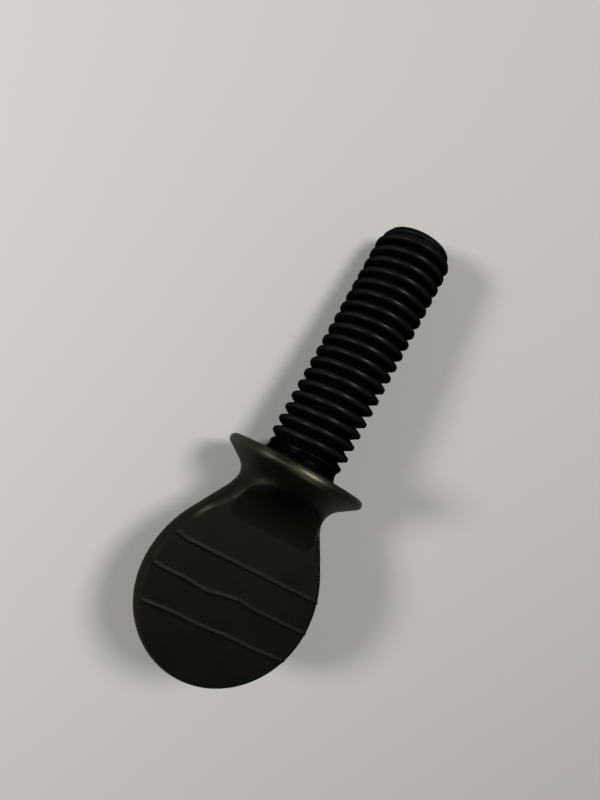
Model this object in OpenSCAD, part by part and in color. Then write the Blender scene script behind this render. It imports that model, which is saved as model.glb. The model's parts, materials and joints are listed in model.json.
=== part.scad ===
// Forged thumb screw: round flange, flat spade with grip ridges, right-hand threaded shank.
// Millimetres. It lies on the flange's rim and the thread's point, with +Z up and the shank
// along +Y. The origin is the centre of the flange's bearing face, on the thread's axis.
// The sub-part modules are drawn along the screw's own axis: local +Z runs to the point,
// local X across the spade, and the spade is thin along local Y.

/* [Thread] */
// Nominal thread diameter
thread_d = 8; // [6:1:8]
// Thread pitch, one start, right hand
thread_pitch = 1.25; // [1:0.25:1.25]
// Major diameter below nominal, from the thread's tolerance and the rolled crests
thread_allowance = 0.24; // [0.05:0.01:0.25]
// Length from the bearing face to the point's end
thread_length = 25.2; // [16:0.1:40]
// Plain and run-out length under the flange
runout_length = 2.1; // [1.5:0.1:4]
// Diameter of the point's flat end
point_d = 6.1; // [4:0.1:6.4]
// Length of the point's chamfer
point_length = 1.4; // [1:0.1:3]
// Turn of the thread about the axis
thread_start = 350; // [0:5:355]
// Radius of the fillet between the bearing face and the shank
underhead_fillet_r = 0.8; // [0.5:0.1:1]

/* [Flange] */
// Flange diameter
flange_d = 14; // [13:0.5:20]
// Thickness of the rounded rim
flange_rim_t = 1; // [0.6:0.1:1.2]
// Angle of the flange's back to the axis
flange_back_angle = 56; // [50:1:65]

/* [Neck] */
// Diameter of the round neck behind the flange
neck_d = 9; // [8.5:0.5:10]
// Radius of the fillet between the flange's back and the neck
neck_fillet_r = 0.8; // [0.5:0.1:1]
// Distance from the bearing face to the foot of the pressed ramps
ramp_foot = 6.2; // [5.5:0.1:7]
// Radius of the pressed ramps
ramp_r = 3.6; // [3:0.1:3.8]

/* [Spade] */
// Spade width at its widest line
spade_w = 17.1; // [16:0.1:19]
// Spade thickness between its flat faces
spade_t = 2.5; // [2:0.1:3]
// Distance from the bearing face to the spade's widest line
spade_reach = 13.1; // [12:0.1:16]
// Radius of the shoulders between the flanks and the widest line
shoulder_r = 10.35; // [9.5:0.05:11]
// Angle of the straight flanks to the axis
flank_angle = 30.5; // [28:0.5:34]
// Radius of the bulged edge all round the spade
edge_r = 1.7; // [1.55:0.05:2.2]

/* [Grip ridges] */
// Number of raised ridges on each face
ridge_count = 3; // [1:1:4]
// Distance from the bearing face to the first ridge
ridge_reach = 10.3; // [9.5:0.1:12]
// Spacing of the ridges
ridge_spacing = 3.03; // [2:0.01:3.2]
// Width of a ridge at the face
ridge_w = 0.5; // [0.4:0.05:0.8]
// Height of a ridge above the face
ridge_h = 0.2; // [0.15:0.01:0.25]
// Gap between a ridge's end and the edge's bulge
ridge_gap = 0.3; // [0.1:0.05:1]

/* [Hidden] */
$fn = 96;
steel_black = [0.09, 0.09, 0.08];

flange_r = flange_d / 2;
rim_r = flange_rim_t / 2;
neck_r = neck_d / 2;
half_w = spade_w / 2;
half_t = spade_t / 2;

// thread section: 60 degree flanks, a flat crest and a narrow root
crest_r = (thread_d - thread_allowance) / 2;
thread_depth = 0.6134 * thread_pitch;
root_r = crest_r - thread_depth;
crest_flat = thread_pitch / 8;
flank_run = thread_depth * tan(30);
root_flat = thread_pitch - crest_flat - 2 * flank_run;
rolled_r = crest_r - 0.3 * thread_pitch;
turn_steps = 36;
fillet_steps = 4;
shank_sink = 0.4;
end_gap = 0.02;
// the flank cuts the shoulder's edge at this small angle and ends inside the neck
flank_crossing = 4;
flank_stop = 2.8;
helix_start = underhead_fillet_r;
point_start = thread_length - point_length;

// edge's bulge stands this far beyond the flat faces
bulge = edge_r - sqrt(pow(edge_r, 2) - pow(half_t, 2));

// radius of the threaded shank at a height and a helical phase in turns
function runout_share(z) = max(0, min(1, (z - helix_start) / (runout_length - helix_start)));
function point_r(z) = crest_r - (crest_r - point_d / 2) * max(0, z - point_start) / point_length;
function shank_r(z, full_r) =
    min(rolled_r + (full_r - rolled_r) * runout_share(z), point_r(z));

// one pitch of the thread: [height in the pitch, radius]
thread_rows = [
    [0, root_r],
    [root_flat, root_r],
    [root_flat + flank_run, crest_r],
    [root_flat + flank_run + crest_flat, crest_r],
];

// lying pose: one line touches the rim's round and the last full crest on the under side
under_turn = (90 - thread_start) / 360;
under_crest = helix_start + thread_rows[3][0] + thread_pitch * under_turn;
last_crest = under_crest + thread_pitch * floor((point_start - under_crest) / thread_pitch);
rim_centre_r = flange_r - rim_r;
touch_r = rim_centre_r - crest_r;
touch_length = last_crest + rim_r;
lean = asin(rim_r / norm([touch_r, touch_length])) + atan(touch_r / touch_length);
row_count = ceil((thread_length - helix_start) / thread_pitch + 2) * len(thread_rows);

module flange_and_neck() {
    back_out = [cos(flange_back_angle), -sin(flange_back_angle)];
    rim_centre = [rim_centre_r, -rim_r];
    fillet_centre_r = neck_r + neck_fillet_r;
    fillet_offset = back_out * rim_centre + rim_r + neck_fillet_r;
    fillet_centre = [fillet_centre_r,
        (fillet_offset - back_out[0] * fillet_centre_r) / back_out[1]];
    difference() {
        rotate_extrude() difference() {
            union() {
                polygon([
                    [0, 0],
                    [rim_centre_r, 0],
                    rim_centre + rim_r * back_out,
                    fillet_centre - neck_fillet_r * back_out,
                    [neck_r, fillet_centre[1]],
                    [neck_r, -ramp_foot],
                    [0, -ramp_foot],
                ]);
                translate(rim_centre) circle(rim_r);
            }
            translate(fillet_centre) circle(neck_fillet_r);
        }
        // the two dies press a hollow ramp into each side of the round neck
        for (side = [-1, 1])
            translate([-neck_d, side * (half_t + ramp_r), -ramp_foot])
                rotate([0, 90, 0])
                    cylinder(r = ramp_r, h = 2 * neck_d);
    }
}

module edge_section(reach) {
    // half section through the spade: a slab that ends in the bulged edge
    translate([0, -half_t]) square([reach - bulge, spade_t]);
    intersection() {
        translate([reach - edge_r, 0]) circle(edge_r);
        translate([reach - edge_r, -half_t]) square([2 * edge_r, spade_t]);
    }
}

module spade() {
    shoulder_x = half_w - shoulder_r;
    flank_reach = shoulder_r * cos(flank_crossing);
    flank_rise = spade_reach - flank_reach * sin(flank_angle) - flank_stop;
    translate([0, 0, -spade_reach]) rotate([90, 0, 0]) {
        // round end
        rotate(180) rotate_extrude(angle = 180) edge_section(half_w);
        for (side = [0, 1]) mirror([side, 0, 0]) translate([shoulder_x, 0, 0]) {
            // shoulder
            rotate_extrude(angle = flank_angle + 2 * flank_crossing)
                edge_section(shoulder_r);
            // straight flank, run on into the neck
            rotate(flank_angle) rotate([-90, 0, 0]) mirror([0, 1, 0])
                linear_extrude(flank_rise / cos(flank_angle)) edge_section(flank_reach);
        }
    }
}

module grip_ridges() {
    // each ridge is the top of a thin rod with ball ends, sunk into the face
    rod_r = (pow(ridge_h, 2) + pow(ridge_w / 2, 2)) / (2 * ridge_h);
    for (i = [0 : ridge_count - 1]) {
        from_widest = spade_reach - ridge_reach - i * ridge_spacing;
        face_half = from_widest > 0
            ? half_w - shoulder_r + sqrt(pow(shoulder_r - bulge, 2) - pow(from_widest, 2))
            : sqrt(pow(half_w - bulge, 2) - pow(from_widest, 2));
        ball_x = face_half - ridge_gap - rod_r;
        for (side = [-1, 1])
            translate([0, side * (half_t + ridge_h - rod_r), from_widest - spade_reach]) {
                rotate([0, 90, 0]) cylinder(r = rod_r, h = 2 * ball_x, center = true);
                for (end = [-1, 1]) translate([end * ball_x, 0, 0]) sphere(rod_r);
            }
    }
}

module threaded_shank() {
    fillet_top_r = rolled_r + underhead_fillet_r;
    rings = [
        [fillet_top_r, -shank_sink],
        for (j = [0 : fillet_steps])
            [fillet_top_r - underhead_fillet_r * sin(90 * j / fillet_steps),
             underhead_fillet_r - underhead_fillet_r * cos(90 * j / fillet_steps)],
        [point_d / 2, thread_length],
    ];
    start_ring = len(rings) - 2;
    end_ring = len(rings) - 1;
    rows_base = len(rings) * turn_steps;

    function ring_index(ring, step) = ring * turn_steps + step % turn_steps;
    function row_z(row, step) = helix_start + thread_rows[row % len(thread_rows)][0]
        + thread_pitch * (floor(row / len(thread_rows)) + step / turn_steps - 1);
    function index(row, step) = row_z(row, step) < helix_start + end_gap
        ? ring_index(start_ring, step)
        : row_z(row, step) > thread_length - end_gap
        ? ring_index(end_ring, step)
        : step < turn_steps
        ? rows_base + row * turn_steps + step
        : rows_base + (row + len(thread_rows)) * turn_steps + step - turn_steps;
    function quad(a, b, c, d) = [
        if (a != d && d != c && c != a) [a, d, c],
        if (a != c && c != b && b != a) [a, c, b],
    ];

    ring_points = [
        for (ring = rings) for (step = [0 : turn_steps - 1])
            [ring[0] * cos(360 * step / turn_steps), ring[0] * sin(360 * step / turn_steps),
             ring[1]],
    ];
    row_points = [
        for (row = [0 : row_count - 1]) for (step = [0 : turn_steps - 1])
            let (z = row_z(row, step), a = 360 * step / turn_steps,
                r = shank_r(z, thread_rows[row % len(thread_rows)][1]))
                [r * cos(a), r * sin(a), z],
    ];
    faces = [
        [for (step = [0 : turn_steps - 1]) ring_index(0, step)],
        [for (step = [turn_steps - 1 : -1 : 0]) ring_index(end_ring, step)],
        for (ring = [0 : start_ring - 1]) for (step = [0 : turn_steps - 1])
            [ring_index(ring, step), ring_index(ring + 1, step),
             ring_index(ring + 1, step + 1), ring_index(ring, step + 1)],
        for (row = [0 : row_count - 2]) for (step = [0 : turn_steps - 1])
            each quad(index(row, step), index(row, step + 1),
                      index(row + 1, step + 1), index(row + 1, step)),
    ];
    rotate(thread_start) polyhedron(concat(ring_points, row_points), faces);
}

module thumb_screw() {
    color(steel_black) rotate([-90 - lean, 0, 0]) {
        flange_and_neck();
        spade();
        grip_ridges();
        threaded_shank();
    }
}

thumb_screw();
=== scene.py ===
import json
import math

import bpy
import numpy as np
from mathutils import Matrix, Vector


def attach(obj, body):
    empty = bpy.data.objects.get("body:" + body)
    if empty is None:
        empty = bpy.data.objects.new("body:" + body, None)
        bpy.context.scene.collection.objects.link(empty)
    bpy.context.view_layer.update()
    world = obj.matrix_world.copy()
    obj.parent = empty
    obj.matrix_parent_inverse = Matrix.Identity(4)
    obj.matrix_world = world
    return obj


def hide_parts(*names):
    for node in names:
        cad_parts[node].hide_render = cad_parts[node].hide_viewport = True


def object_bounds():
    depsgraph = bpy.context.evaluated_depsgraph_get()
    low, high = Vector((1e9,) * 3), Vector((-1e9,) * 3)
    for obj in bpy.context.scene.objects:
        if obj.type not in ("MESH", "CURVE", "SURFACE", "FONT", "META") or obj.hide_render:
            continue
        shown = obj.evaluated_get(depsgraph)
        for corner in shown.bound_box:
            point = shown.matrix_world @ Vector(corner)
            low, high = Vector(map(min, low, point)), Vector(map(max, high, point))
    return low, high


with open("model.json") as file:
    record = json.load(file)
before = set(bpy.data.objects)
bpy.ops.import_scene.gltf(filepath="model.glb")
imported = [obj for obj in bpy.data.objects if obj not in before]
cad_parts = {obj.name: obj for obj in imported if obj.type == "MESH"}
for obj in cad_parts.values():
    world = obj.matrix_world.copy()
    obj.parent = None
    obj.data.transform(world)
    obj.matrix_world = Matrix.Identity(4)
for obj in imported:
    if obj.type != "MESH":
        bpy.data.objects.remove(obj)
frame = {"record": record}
cad_box = [list(corner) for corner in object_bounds()]


# ---------------------------------------------------------------------------------------
# Forged head: a round flange, a short round neck and a flat spade, upset on the end of a
# carbon steel bar and pressed between two dies while hot, so every corner is soft. The dies
# also leave three thin raised ridges on each face, which keep the fingers from slipping.

MM = 0.001

# the screw's own axes: x across the spade, y through its thickness and negative on the face
# that lies up, z along to the point and zero on the flange's bearing face
thread_mount = next(m for m in frame["record"]["mounts"] if m["name"] == "thread")
to_point = Vector(thread_mount["axis"])
across = Vector((1, 0, 0))
through = to_point.cross(across)
lean = math.asin(-to_point.z)
screw_axes = (Matrix((across, through, to_point)).transposed() * MM).to_4x4()

# millimetres along those axes
flange_r = 7.0
rim_r = 0.5
flange_back = math.radians(56)
neck_r = 4.5
neck_fillet = 0.9
ramp_foot = 6.6
ramp_r = 3.6
ramp_ease = 0.5
spade_r = 8.55
spade_reach = 13.1
shoulder_r = 10.35
flank = math.radians(30.5)
half_t = 1.25
edge_r = 2.2
face_round = 0.25
neck_round = 0.8
neck_round_start = 7.2
neck_round_run = 2.5
arch_round = 0.3
flank_fillet = 0.7
flank_fillet_run = 1.6
face_bulge = edge_r - math.sqrt(edge_r ** 2 - half_t ** 2)

# a ridge slopes gently on the flange's side, drops more steeply on the other, and fades out
# just inside the spade's outline
ridge_h = 0.07
ridge_slope = 0.34
ridge_drop = 0.2
ridge_reach = (10.31, 13.36, 16.45)
ridge_gap = 0.02
ridge_fade = 0.2

# the forging's unevenness: the skin lies up to twice this inside its true form
forged_depth = 0.01


def join(a, b, fillet):
    """Two forms become one, with a fillet where they meet."""
    least_fillet = 1e-6
    meet = np.maximum(fillet - np.abs(a - b), 0) / np.maximum(fillet, least_fillet)
    return np.minimum(a, b) - meet * meet * fillet / 4


def trim(a, b, rounding):
    """What two forms have in common, with the edge between them rounded off."""
    return -join(-a, -b, rounding)


def swell(x, centre, width):
    """A local rise to one, which fades out over its width."""
    return np.exp(-((x - centre) / width) ** 2)


def flange_form(x, y, z):
    """A flat bearing face, a fully rounded rim and a coned back."""
    out = np.hypot(x, y) - (flange_r - rim_r)
    up = z + rim_r
    back = out * math.cos(flange_back) - up * math.sin(flange_back)
    at_rim = (out > 0) & (up + out * math.tan(flange_back) > 0)
    return np.where(at_rim, np.hypot(out, up), np.maximum(up, back)) - rim_r


def spade_outline(x, z):
    """Distance outside the spade's outline, seen square on."""
    rise = z + spade_reach
    beside = np.abs(x) + shoulder_r - spade_r
    straight = beside * math.cos(flank) + rise * math.sin(flank)
    on_flank = rise * math.cos(flank) > beside * math.sin(flank)
    shoulder = np.where(on_flank, straight, np.hypot(beside, rise)) - shoulder_r
    return np.where(rise < 0, np.hypot(x, rise) - spade_r, shoulder)


def ridge_height(x, y, z, outline):
    """The ridges stand on both faces. On the upper one the die was cut unevenly, so they
    wander off their lines and rise in small lumps."""
    upper = y < 0
    # a line for each ridge, made of swells: an amount, a place across the spade, a half width;
    # the third ridge wanders in one slow wave
    wander = [0.2 * swell(x, -7.3, 0.45),
              0.2 * swell(x, 0.6, 1.3) - 0.2 * swell(x, -2.7, 1.3) + 0.1 * swell(x, -7.9, 0.6),
              0.04 * np.sin(1.1 * x)]
    lumps = [0.9 * swell(x, -8.1, 0.25) + 0.4 * swell(x, -3.2, 0.3),
             0.9 * swell(x, -8.4, 0.4) + 0.8 * swell(x, -2.3, 0.5) + 0.7 * swell(x, 0.5, 0.25),
             0.4 * swell(x, 0.4, 0.4)]
    height = np.zeros_like(x)
    for reach, shift, lump in zip(ridge_reach, wander, lumps):
        off_line = z + reach - np.where(upper, shift, 0)
        off_line = np.clip(off_line / np.where(off_line > 0, ridge_slope, ridge_drop), -1, 1)
        taller = ridge_h * (1 + np.where(upper, lump, 0))
        height = height + taller * (0.5 + 0.5 * np.cos(np.pi * off_line))
    return height * np.clip(-(outline + ridge_gap) / ridge_fade, 0, 1)


def head_form(x, y, z):
    """Negative inside the head, zero on its skin; millimetres along the screw's axes."""
    thick = np.abs(y)
    outline = spade_outline(x, z)
    root_floor = 0.01
    bulge = edge_r - np.sqrt(np.maximum(edge_r ** 2 - thick ** 2, root_floor))
    rounding = face_round + neck_round * np.clip((z + neck_round_start) / neck_round_run, 0, 1)
    spade = trim(outline + bulge, thick - half_t, rounding)
    spade = spade - ridge_height(x, y, z, outline)
    climb = np.maximum(z + ramp_foot, 0)
    climb = np.minimum(climb ** 2 / (climb + ramp_ease), ramp_r)
    ramp = half_t + ramp_r - np.sqrt(ramp_r ** 2 - climb ** 2)
    neck = trim(np.hypot(x, y) - neck_r, thick - ramp, arch_round)
    neck = np.maximum(neck, -z - spade_reach)
    body = join(spade, neck, flank_fillet * np.clip((z + ramp_foot) / flank_fillet_run, 0, 1))
    body = np.maximum(body, z + 2 * rim_r)
    waves = forged_depth * np.sin(0.9 * x + 1.3) * np.sin(0.8 * z) * np.sin(0.7 * y + 0.5)
    forged = forged_depth + waves
    return join(flange_form(x, y, z), body, neck_fillet) + forged


# painted highlights on the upper half of the rim, drawn as rubbed grey steel: place across, half
# width, share
rim_highlight_spots = ((-1.3, 1.2, 0.75), (-4.9, 0.5, 0.2))
rim_rub_all_round = 0.04
rim_rub_at_sides = 0.12
# depth and fade of the rim's band, which carries both the wear and the painted highlights
rim_band_depth = 0.4
rim_band_fade = 0.3
# a painted highlight along one corner of the upper face, and one on the neck, both drawn as
# rubbed steel
corner_highlight = 0.6
corner_highlight_z = -7.2
corner_highlight_length = 0.9
corner_highlight_width = 0.3
neck_highlight = 0.12
neck_highlight_x = -3.3
neck_highlight_z = -2.9
neck_highlight_width = 0.7


def rub_and_highlight_share(x, y, z):
    """How much grey steel shows: a little real wear round the rim, and painted highlights on
    the upper half of the rim, one corner and a spot on the neck.
    """
    outline = spade_outline(x, z)
    from_corner = np.hypot(outline + face_bulge, np.abs(y) - half_t)
    corner = np.clip(1 - from_corner / corner_highlight_width, 0, 1)
    corner = corner * (corner_highlight * (x < 0) * (y < 0) * swell(z, corner_highlight_z, corner_highlight_length))
    on_rim = np.clip((np.hypot(x, y) - flange_r + rim_band_depth) / rim_band_fade, 0, 1)
    on_rim = on_rim * (z > -2 * rim_r)
    spots = sum(share * swell(x, place, width) for place, width, share in rim_highlight_spots)
    at_sides = rim_rub_at_sides * swell(np.abs(x), flange_r, 1.0)
    on_rim = on_rim * (rim_rub_all_round + at_sides + (y < 0) * spots)
    off_neck_spot = np.hypot(x - neck_highlight_x, z - neck_highlight_z)
    on_neck = neck_highlight * swell(off_neck_spot, 0, neck_highlight_width) * (y < 0)
    return np.maximum(np.maximum(on_rim, corner), on_neck)


# the sheared band starts a little way in from the outline and ends before the neck
band_inset = 0.3
band_fade = 0.15
band_end = 5.5
band_end_fade = 0.8
band_worn_off = 0.9
band_worn_length = 1.0


def trimmed_share(x, y, z):
    """One on the spade's edge, where the dies' flash was sheared off, and zero on the faces.
    The corner where a highlight is painted has lost most of it."""
    outline = spade_outline(x, z)
    on_edge = np.clip((outline + face_bulge + band_inset) / band_fade, 0, 1)
    on_edge = on_edge * np.clip((-band_end - z) / band_end_fade, 0, 1)
    worn = band_worn_off * (y < 0) * (x < 0) * swell(z, corner_highlight_z, band_worn_length)
    return on_edge * (1 - worn)


# middle and half width of the painted shade under the flange, along the screw and across it
painted_shade_z, painted_shade_length = -3.0, 1.5
painted_shade_x, painted_shade_width = -0.3, 3.4


def painted_shade_share(x, y, z):
    """One in the corner between the flange and the ramps, which is darkened there as painted
    shade.
    """
    return swell(z, painted_shade_z, painted_shade_length) * swell(x, painted_shade_x, painted_shade_width)


def ruler(low, high, step, bands=()):
    """Evenly spaced marks from low to high, twice as close inside each of the bands."""
    marks = np.arange(low, high + step, step)
    close = np.zeros(len(marks), bool)
    for start, end in bands:
        close |= (marks > start) & (marks < end)
    return np.sort(np.concatenate([marks, marks[close] + step / 2]))


def skin(form, rulers):
    """A net of four-sided faces over the surface where the form is zero."""
    inside = form(*np.meshgrid(*rulers, indexing="ij")) < 0
    cells = sum(inside[i:i - 1 or None, j:j - 1 or None, k:k - 1 or None].astype(np.int8)
                for i in (0, 1) for j in (0, 1) for k in (0, 1))
    crossed = (cells > 0) & (cells < 8)
    number = np.full(crossed.shape, -1)
    number[crossed] = np.arange(crossed.sum())
    middles = [(marks[:-1] + marks[1:]) / 2 for marks in rulers]
    points = np.stack([marks[at] for marks, at in zip(middles, np.nonzero(crossed))], axis=1)
    faces = []
    for axis in range(3):
        first = np.moveaxis(inside, axis, 0)
        leaving = first[:-1] & ~first[1:]
        entering = ~first[:-1] & first[1:]
        net = np.moveaxis(number, axis, 0)
        for edges, outward in ((leaving, True), (entering, False)):
            i, j, k = np.nonzero(edges)
            ring = [net[i, j - 1, k - 1], net[i, j, k - 1], net[i, j, k], net[i, j - 1, k]]
            turned = outward if axis != 1 else not outward
            faces.append(np.stack(ring if turned else ring[::-1], axis=1))
    return points, np.concatenate(faces)


def settle(form, points, faces, rounds):
    """Evens the net out: each point goes half way to the middle of its neighbours, and then
    in two steps back onto the surface."""
    nudge_size = 0.01
    least_steepness = 0.2
    start = faces.ravel()
    end = np.roll(faces, -1, axis=1).ravel()
    for _ in range(rounds):
        total = np.zeros_like(points)
        count = np.zeros(len(points))
        for here, there in ((start, end), (end, start)):
            np.add.at(total, here, points[there])
            np.add.at(count, here, 1)
        points = 0.5 * points + 0.5 * total / count[:, None]
        for _ in range(2):
            value = form(*points.T)
            changes = [form(*(points + nudge).T) - form(*(points - nudge).T)
                       for nudge in np.eye(3) * nudge_size]
            slope = np.stack([change / (2 * nudge_size) for change in changes], axis=1)
            steepness = np.maximum((slope ** 2).sum(axis=1), least_steepness)
            points = points - slope * (value / steepness)[:, None]
    return points


def linear(hex_colour):
    """A six-digit sRGB hex colour as the linear values that a shader takes."""
    channels = [int(hex_colour[i:i + 2], 16) / 255 for i in (0, 2, 4)]
    return tuple(c / 12.92 if c <= 0.04045 else ((c + 0.055) / 1.055) ** 2.4
                 for c in channels) + (1.0,)


def add(tree, kind, *values, sockets=None, **settings):
    """Adds a node, with its settings, and values or links for its inputs in order or by name."""
    made = tree.nodes.new(kind)
    for setting, value in settings.items():
        setattr(made, setting, value)
    for key, value in list(enumerate(values)) + list((sockets or {}).items()):
        if isinstance(value, bpy.types.Node):
            value = value.outputs[0]
        if isinstance(value, bpy.types.NodeSocket):
            tree.links.new(value, made.inputs[key])
        elif value is not None:
            made.inputs[key].default_value = value
    return made


def material(name):
    """An empty material and its node tree."""
    made = bpy.data.materials.new(name)
    made.use_nodes = True
    made.node_tree.nodes.clear()
    return made, made.node_tree


# the net reaches round the whole head; its marks are twice as close along the ridges and at
# the level of the two faces' corners
head_step = 0.125
head_side, head_thick, head_low, head_high = 8.75, 7.25, -21.875, 0.25
ridge_band = 0.7
ridge_bands = [(-reach - ridge_band, -reach + ridge_band) for reach in ridge_reach]
face_bands = [(-1.6, -1.1), (1.1, 1.6)]
settling_rounds = 4
points, faces = skin(head_form, [
    ruler(-head_side, head_side, head_step),
    ruler(-head_thick, head_thick, head_step, face_bands),
    ruler(head_low, head_high, head_step, ridge_bands)])
points = settle(head_form, points, faces, settling_rounds)
head_mesh = bpy.data.meshes.new("forged_head")
head_mesh.from_pydata(points.tolist(), [], faces.tolist())
# the first share is grey steel, partly wear and partly painted highlights; the last is painted
# shade under the flange
for name, share in (("rub_and_highlight", rub_and_highlight_share), ("trimmed", trimmed_share),
                    ("painted_shade", painted_shade_share)):
    head_mesh.attributes.new(name, "FLOAT", "POINT").data.foreach_set("value", share(*points.T))
head_mesh.transform(screw_axes)
head_mesh.shade_smooth()
head = bpy.data.objects.new("forged_head", head_mesh)
bpy.context.scene.collection.objects.link(head)

# Black oxide on forged steel: the bath turns the shot-blasted skin to a thin layer of dark
# magnetite, then oil fills it. The eye sees an olive black, satin sheen with a fine grain and
# faint patches. Grey steel is drawn on the rim, partly where handling rubbed the coat and partly
# as painted highlights on its upper half, and as painted highlights on one corner and a spot on
# the neck; the sheared edge is duller, and the corner under the flange is painted near black as
# painted shade. It is drawn as a metal of a dark colour, so what shows is what it reflects.
# The blast's dimples are under 0.1 mm across, and are drawn coarser so that they show.
# A Mix node has its colours on inputs 6 and 7 and their mix on output 2, and its plain values
# on inputs 2 and 3.
forged_oxide, tree = material("black_oxide_forged_steel")
place = add(tree, "ShaderNodeTexCoord").outputs["Object"]
grain_size = 0.16 * MM
patch_size = 3.0 * MM
grain = add(tree, "ShaderNodeTexNoise", sockets={
    "Vector": place, "Scale": 1 / grain_size, "Detail": 3.0, "Roughness": 0.6})
patch = add(tree, "ShaderNodeTexNoise", sockets={
    "Vector": place, "Scale": 1 / patch_size, "Detail": 2.0, "Roughness": 0.5})
# grey steel on the rim, a corner and the neck: partly wear, partly painted highlights
rub_and_highlight = add(tree, "ShaderNodeAttribute", attribute_name="rub_and_highlight").outputs["Fac"]
shade = add(tree, "ShaderNodeMix", data_type="RGBA", sockets={
    0: patch, 6: linear("1f2019"), 7: linear("25261e")})
# painted shade: the corner under the flange is darkened to near black
painted_shade = add(tree, "ShaderNodeAttribute", attribute_name="painted_shade").outputs["Fac"]
shade = add(tree, "ShaderNodeMix", data_type="RGBA", sockets={
    0: painted_shade, 6: shade.outputs[2], 7: linear("0e0f0a")})
shade = add(tree, "ShaderNodeMix", data_type="RGBA", sockets={
    0: rub_and_highlight, 6: shade.outputs[2], 7: linear("7a7764")})
dullness = add(tree, "ShaderNodeMapRange", sockets={
    "Value": patch, "From Min": 0.3, "From Max": 0.7, "To Min": 0.5, "To Max": 0.54})
dullness = add(tree, "ShaderNodeMix", rub_and_highlight, sockets={2: dullness, 3: 0.45})
trimmed = add(tree, "ShaderNodeAttribute", attribute_name="trimmed").outputs["Fac"]
shade = add(tree, "ShaderNodeMix", data_type="RGBA", sockets={
    0: trimmed, 6: shade.outputs[2], 7: linear("212219")})
dullness = add(tree, "ShaderNodeMix", trimmed, sockets={2: dullness.outputs[0], 3: 0.7})
pits = add(tree, "ShaderNodeBump", sockets={
    "Strength": 0.15, "Distance": 0.03 * MM, "Height": grain})
surface = add(tree, "ShaderNodeBsdfPrincipled", sockets={
    "Base Color": shade.outputs[2], "Metallic": 1.0, "Roughness": dullness,
    "Specular Tint": linear("e4e4e4"), "Normal": pits})
add(tree, "ShaderNodeOutputMaterial", surface)
head_mesh.materials.append(forged_oxide)

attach(head, "root")
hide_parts("thumb_screw")


# ---------------------------------------------------------------------------------------
# Threaded shank: the bar's other end, rolled between two flat dies, which press the grooves
# in and squeeze the metal up into the crests. The rolling stops short of the flange, and
# the first turn runs out over a chamfer on the point.

# millimetres, apart from the slope and the last three, which are counts
shank_sizes = {
    "Pitch": 1.25,
    "Crest radius": 3.87,
    "Root radius": 3.113,
    "Crest flat": 0.34,
    "Crest rounding": 0.2,
    "Root rounding": 0.05,
    "Crest offset": 0.314,
    "Length": 25.2,
    "Point radius": 3.08,
    "Chamfer slope": 0.6,
    "Chamfer rounding": 0.3,
    "Point rounding": 0.25,
    "Run-out": 2.1,
    "Rolled radius": 3.505,
    "Fillet": 0.8,
    "Sink": 0.4,
    "Turns": 25.0,
    "Steps per turn": 72.0,
    "Rows per pitch": 24.0,
}
rolled = bpy.data.node_groups.new("rolled_thread", "GeometryNodeTree")
rolled.interface.new_socket("Shank", in_out="OUTPUT", socket_type="NodeSocketGeometry")
for name, value in shank_sizes.items():
    socket = rolled.interface.new_socket(name, in_out="INPUT", socket_type="NodeSocketFloat")
    socket.default_value = value
coating_input = rolled.interface.new_socket(
    "Coating", in_out="INPUT", socket_type="NodeSocketMaterial")
size = add(rolled, "NodeGroupInput").outputs

# one strip, a pitch wide, wound round the axis until its edges meet turn by turn; the turns
# that come before the bearing face fold flat into the end that is sunk in the flange
start_turn = -3.5
steps = add(rolled, "ShaderNodeMath", size["Turns"], size["Steps per turn"], operation="MULTIPLY")
columns = add(rolled, "ShaderNodeMath", steps, 1.0, operation="ADD")
rows = add(rolled, "ShaderNodeMath", size["Rows per pitch"], 1.0, operation="ADD")
strip = add(rolled, "GeometryNodeMeshGrid", 1.0, 1.0, columns, rows)
on_strip = add(rolled, "ShaderNodeSeparateXYZ", strip.outputs["UV Map"])
turn = add(rolled, "ShaderNodeMath", on_strip.outputs["X"], size["Turns"], operation="MULTIPLY")
angle = add(rolled, "ShaderNodeMath", turn, math.tau, operation="MULTIPLY")
first = add(rolled, "ShaderNodeMath", size["Pitch"], start_turn, size["Crest offset"],
            operation="MULTIPLY_ADD")
wound = add(rolled, "ShaderNodeMath", turn, on_strip.outputs["Y"], operation="ADD")
height = add(rolled, "ShaderNodeMath", wound, size["Pitch"], first, operation="MULTIPLY_ADD")

# groove and crest: a flat crest and a root with rolled corners, and flanks that drop steeply,
# sixty degrees from the axis
flank_slope = math.tan(math.radians(60))
half_flat = add(rolled, "ShaderNodeMath", size["Crest flat"], 0.5, operation="MULTIPLY")
from_middle = add(rolled, "ShaderNodeMath", on_strip.outputs["Y"], 0.5, operation="SUBTRACT")
aside = add(rolled, "ShaderNodeMath", from_middle, operation="ABSOLUTE")
past_flat = add(rolled, "ShaderNodeMath", aside, size["Pitch"], operation="MULTIPLY")
past_flat = add(rolled, "ShaderNodeMath", past_flat, half_flat, operation="SUBTRACT")
flank_drop = add(rolled, "ShaderNodeMath", past_flat, flank_slope, operation="MULTIPLY")
flank_at = add(rolled, "ShaderNodeMath", size["Crest radius"], flank_drop, operation="SUBTRACT")
groove = add(rolled, "ShaderNodeMath", flank_at, size["Root radius"], size["Root rounding"],
             operation="SMOOTH_MAX")
full = add(rolled, "ShaderNodeMath", groove, size["Crest radius"], size["Crest rounding"],
           operation="SMOOTH_MIN")

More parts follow.
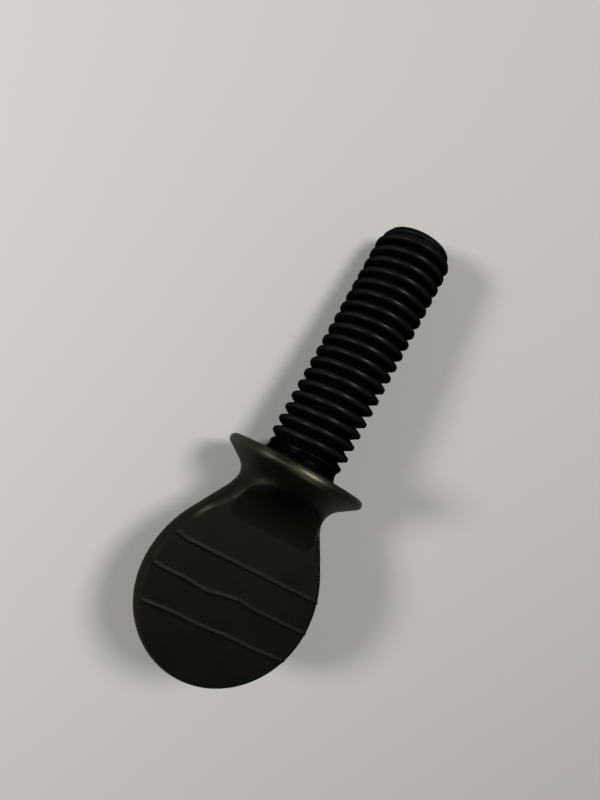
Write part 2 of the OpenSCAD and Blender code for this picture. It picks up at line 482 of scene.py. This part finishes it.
# the groove fades out towards the flange and ends in the fillet under it, which stops just
# short of a quarter turn, where it would lie along the bearing face
fillet_stop = 0.999
share = add(rolled, "ShaderNodeMapRange", height, size["Fillet"], size["Run-out"], 0.0, 1.0)
rolled_part = add(rolled, "ShaderNodeMath", full, size["Rolled radius"], operation="SUBTRACT")
section = add(rolled, "ShaderNodeMath", rolled_part, share, size["Rolled radius"],
              operation="MULTIPLY_ADD")
to_face = add(rolled, "ShaderNodeMapRange", height, size["Fillet"], 0.0, 0.0, fillet_stop)
squared = add(rolled, "ShaderNodeMath", to_face, to_face, operation="MULTIPLY")
left_over = add(rolled, "ShaderNodeMath", 1.0, squared, operation="SUBTRACT")
root_of = add(rolled, "ShaderNodeMath", left_over, operation="SQRT")
flare = add(rolled, "ShaderNodeMath", 1.0, root_of, operation="SUBTRACT")
section = add(rolled, "ShaderNodeMath", flare, size["Fillet"], section, operation="MULTIPLY_ADD")

# the point: a chamfer, a small round and the flat end
to_end = add(rolled, "ShaderNodeMath", size["Length"], height, operation="SUBTRACT")
before_end = add(rolled, "ShaderNodeMath", to_end, 0.0, operation="MAXIMUM")
chamfer = add(rolled, "ShaderNodeMath", before_end, size["Chamfer slope"], size["Point radius"],
              operation="MULTIPLY_ADD")
round_start = add(rolled, "ShaderNodeMath", size["Length"], size["Point rounding"],
                  operation="SUBTRACT")
past_start = add(rolled, "ShaderNodeMath", height, round_start, operation="SUBTRACT")
round_turn = add(rolled, "ShaderNodeMath", past_start, size["Point rounding"], operation="DIVIDE")
round_turn = add(rolled, "ShaderNodeClamp", round_turn, 0.0, math.pi / 2)
round_in = add(rolled, "ShaderNodeMath", round_turn, operation="COSINE")
round_in = add(rolled, "ShaderNodeMath", 1.0, round_in, operation="SUBTRACT")
round_in = add(rolled, "ShaderNodeMath", round_in, size["Point rounding"], operation="MULTIPLY")
nose = add(rolled, "ShaderNodeMath", chamfer, round_in, operation="SUBTRACT")
section = add(rolled, "ShaderNodeMath", section, nose, size["Chamfer rounding"],
              operation="SMOOTH_MIN")
round_up = add(rolled, "ShaderNodeMath", round_turn, operation="SINE")
round_up = add(rolled, "ShaderNodeMath", round_up, size["Point rounding"], operation="MULTIPLY")
on_side = add(rolled, "ShaderNodeMath", height, round_start, operation="MINIMUM")
along = add(rolled, "ShaderNodeMath", on_side, round_up, operation="ADD")

# both ends close to the axis: one flat on the point, the other inside the flange
face_start = add(rolled, "ShaderNodeMath", size["Point rounding"], math.pi / 2 - 1,
                 size["Length"], operation="MULTIPLY_ADD")
face_end = add(rolled, "ShaderNodeMath", face_start, size["Pitch"], operation="ADD")
end_share = add(rolled, "ShaderNodeMapRange", height, face_start, face_end, 1.0, 0.0)
sunk = add(rolled, "ShaderNodeMath", size["Sink"], -1.0, operation="MULTIPLY")
sunk_end = add(rolled, "ShaderNodeMath", sunk, size["Pitch"], operation="SUBTRACT")
sunk_share = add(rolled, "ShaderNodeMapRange", height, sunk_end, sunk, 0.0, 1.0)
along = add(rolled, "ShaderNodeMath", along, sunk, operation="MAXIMUM")
radius = add(rolled, "ShaderNodeMath", section, end_share, operation="MULTIPLY")
radius = add(rolled, "ShaderNodeMath", radius, sunk_share, operation="MULTIPLY")

# the strip's points are carried to their places, and neighbouring turns are joined, in
# millimetres
weld_distance = 0.001
cosine = add(rolled, "ShaderNodeMath", angle, operation="COSINE")
sine = add(rolled, "ShaderNodeMath", angle, operation="SINE")
x = add(rolled, "ShaderNodeMath", radius, cosine, operation="MULTIPLY")
y = add(rolled, "ShaderNodeMath", radius, sine, operation="MULTIPLY")
spot = add(rolled, "ShaderNodeCombineXYZ", x, y, along)
shape = add(rolled, "GeometryNodeSetPosition", strip, None, spot)
shape = add(rolled, "GeometryNodeMergeByDistance", shape, sockets={
    "Distance": weld_distance})
shape = add(rolled, "GeometryNodeSetShadeSmooth", shape)
shape = add(rolled, "GeometryNodeRealizeInstances", shape)
shape = add(rolled, "GeometryNodeSetMaterial", shape, sockets={"Material": size["Coating"]})
add(rolled, "NodeGroupOutput", shape)

# Black oxide on a rolled thread: the dies leave the flanks and crests smooth and work
# hardened, so the same coat is glossier and neutral here, with fine streaks that run round the
# shank. The grooves are painted near black as painted shade, while the crests and the point keep
# the coat's grey. It is drawn as part metal and part matt oxide. The streaks are a few hundredths
# of a millimetre apart, and are drawn at a tenth so that they show.
streak_long = 2.5 * MM
streak_wide = 0.1 * MM
along_screw = (-math.pi / 2 - lean, 0, 0)
# radius below which the grooves are fully painted black as painted shade and above which the
# crests keep their grey, and the stretch along the screw over which the whole point turns grey,
# in millimetres
painted_groove_shade_r = 3.6
crest_grey_r = 3.82
point_grey_start = 23.2
point_grey_full = 24.0
rolled_oxide, tree = material("black_oxide_rolled_steel")
place = add(tree, "ShaderNodeTexCoord").outputs["Object"]
round_shank = add(tree, "ShaderNodeMapping", place, vector_type="TEXTURE", sockets={
    "Rotation": along_screw, "Scale": (streak_long, streak_long, streak_wide)})
streak = add(tree, "ShaderNodeTexNoise", sockets={
    "Vector": round_shank, "Scale": 1.0, "Detail": 2.0, "Roughness": 0.5})
dullness = add(tree, "ShaderNodeMapRange", sockets={
    "Value": streak, "From Min": 0.3, "From Max": 0.7, "To Min": 0.28, "To Max": 0.36})
own_place = add(tree, "ShaderNodeMapping", place, vector_type="TEXTURE", sockets={
    "Rotation": along_screw, "Scale": (MM, MM, MM)})
own_place = add(tree, "ShaderNodeSeparateXYZ", own_place)
squares = add(tree, "ShaderNodeMath", own_place.outputs["X"], own_place.outputs["X"],
              operation="MULTIPLY")
squares = add(tree, "ShaderNodeMath", own_place.outputs["Y"], own_place.outputs["Y"], squares,
              operation="MULTIPLY_ADD")
from_axis = add(tree, "ShaderNodeMath", squares, operation="SQRT")
on_crest = add(tree, "ShaderNodeMapRange", from_axis, painted_groove_shade_r, crest_grey_r)
on_point = add(tree, "ShaderNodeMapRange", own_place.outputs["Z"],
               point_grey_start, point_grey_full)
on_crest = add(tree, "ShaderNodeMath", on_crest, on_point, operation="MAXIMUM")
# painted shade: the grooves are darkened to near black, the crests and the point keep their grey
shade = add(tree, "ShaderNodeMix", data_type="RGBA", sockets={
    0: on_crest, 6: linear("080808"), 7: linear("20211e")})
grooves = add(tree, "ShaderNodeBump", sockets={
    "Strength": 0.3, "Distance": 0.02 * MM, "Height": streak})
surface = add(tree, "ShaderNodeBsdfPrincipled", sockets={
    "Base Color": shade.outputs[2], "Metallic": 0.6, "Roughness": dullness,
    "Specular IOR Level": 0.0, "Specular Tint": linear("606060"), "Normal": grooves})
add(tree, "ShaderNodeOutputMaterial", surface)

shank = bpy.data.objects.new("threaded_shank", bpy.data.meshes.new("threaded_shank"))
bpy.context.scene.collection.objects.link(shank)
winding = shank.modifiers.new("rolled_thread", "NODES")
winding.node_group = rolled
winding[coating_input.identifier] = rolled_oxide
shank_mesh = bpy.data.meshes.new_from_object(
    shank.evaluated_get(bpy.context.evaluated_depsgraph_get()))
shank.modifiers.remove(winding)
shank_mesh.transform(screw_axes)
shank.data = shank_mesh

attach(shank, "root")
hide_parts("thumb_screw")


# ---------------------------------------------------------------------------------------
# Floor: a sheet of matt, warm white card, wide enough to fill the camera's view. The screw
# lies on it on the flange's rim and the thread's last crests.

rest_height = cad_box[0][2]
floor_half = 0.3
floor_mesh = bpy.data.meshes.new("floor")
corners = [(-floor_half, -floor_half), (floor_half, -floor_half),
           (floor_half, floor_half), (-floor_half, floor_half)]
floor_mesh.from_pydata([(x, y, rest_height) for x, y in corners], [], [(0, 1, 2, 3)])
floor = bpy.data.objects.new("floor", floor_mesh)
bpy.context.scene.collection.objects.link(floor)
card, tree = material("matt_white_card")
surface = add(tree, "ShaderNodeBsdfPrincipled", sockets={
    "Base Color": linear("d6d3ce"), "Roughness": 0.9, "Specular IOR Level": 0.1})
add(tree, "ShaderNodeOutputMaterial", surface)
floor_mesh.materials.append(card)


# ---------------------------------------------------------------------------------------
# Light: a soft lamp high beyond the point, a lower and smaller one beside the head, and plain
# surroundings, pale at the walls and dim at the ceiling. The camera and the steel's reflections
# see the same surroundings.

def soft_lamp(name, direction, elevation, distance, width, power):
    """A round lamp that faces the screw, from a direction along the floor and an elevation."""
    lamp = bpy.data.lights.new(name, "AREA")
    lamp.shape = "DISK"
    lamp.size = width
    lamp.energy = power
    flat = Vector((direction[0], direction[1], 0)).normalized()
    way = flat * math.cos(elevation) + Vector((0, 0, math.sin(elevation)))
    holder = bpy.data.objects.new(name, lamp)
    holder.location = way * distance
    holder.rotation_euler = way.to_track_quat("Z", "Y").to_euler()
    holder.visible_camera = False
    bpy.context.scene.collection.objects.link(holder)


soft_lamp("lamp_beyond_point", direction=(0.22, 0.98), elevation=math.radians(62),
          distance=0.30, width=0.09, power=0.42)
soft_lamp("lamp_beside_head", direction=(-0.93, -0.19), elevation=math.radians(35),
          distance=0.20, width=0.04, power=0.22)

# strengths, and the heights between which one fades to the other, as sines of elevation
wall_glow = 0.5
ceiling_glow = 0.09
wall_foot = 0.05
wall_top = 0.5
warm_white = (1.0, 0.985, 0.96, 1.0)
world = bpy.data.worlds.new("pale_walls_dim_ceiling")
bpy.context.scene.world = world
world.use_nodes = True
direction = add(world.node_tree, "ShaderNodeTexCoord").outputs["Generated"]
rise = add(world.node_tree, "ShaderNodeSeparateXYZ", direction).outputs["Z"]
strength = add(world.node_tree, "ShaderNodeMapRange", rise,
               wall_foot, wall_top, wall_glow, ceiling_glow)
surroundings = world.node_tree.nodes["Background"]
surroundings.inputs["Color"].default_value = warm_white
world.node_tree.links.new(strength.outputs[0], surroundings.inputs["Strength"])


# ---------------------------------------------------------------------------------------
# Camera: hand-held about six centimetres above the card, beside the screw, and looking down
# on the spade's upper face.

camera_data = bpy.data.cameras.new("camera")
camera_data.lens = 28.0
camera_data.sensor_width = 36.0
camera_data.clip_start = 0.005
camera = bpy.data.objects.new("camera", camera_data)
camera.location = Vector((-21.442, 4.465, 54.865)) * MM
camera.rotation_euler = [math.radians(turn) for turn in (-8.927, -16.083, 32.757)]
bpy.context.scene.collection.objects.link(camera)
bpy.context.scene.camera = camera
bpy.context.scene.view_settings.view_transform = "Standard"

bpy.context.view_layer.update()
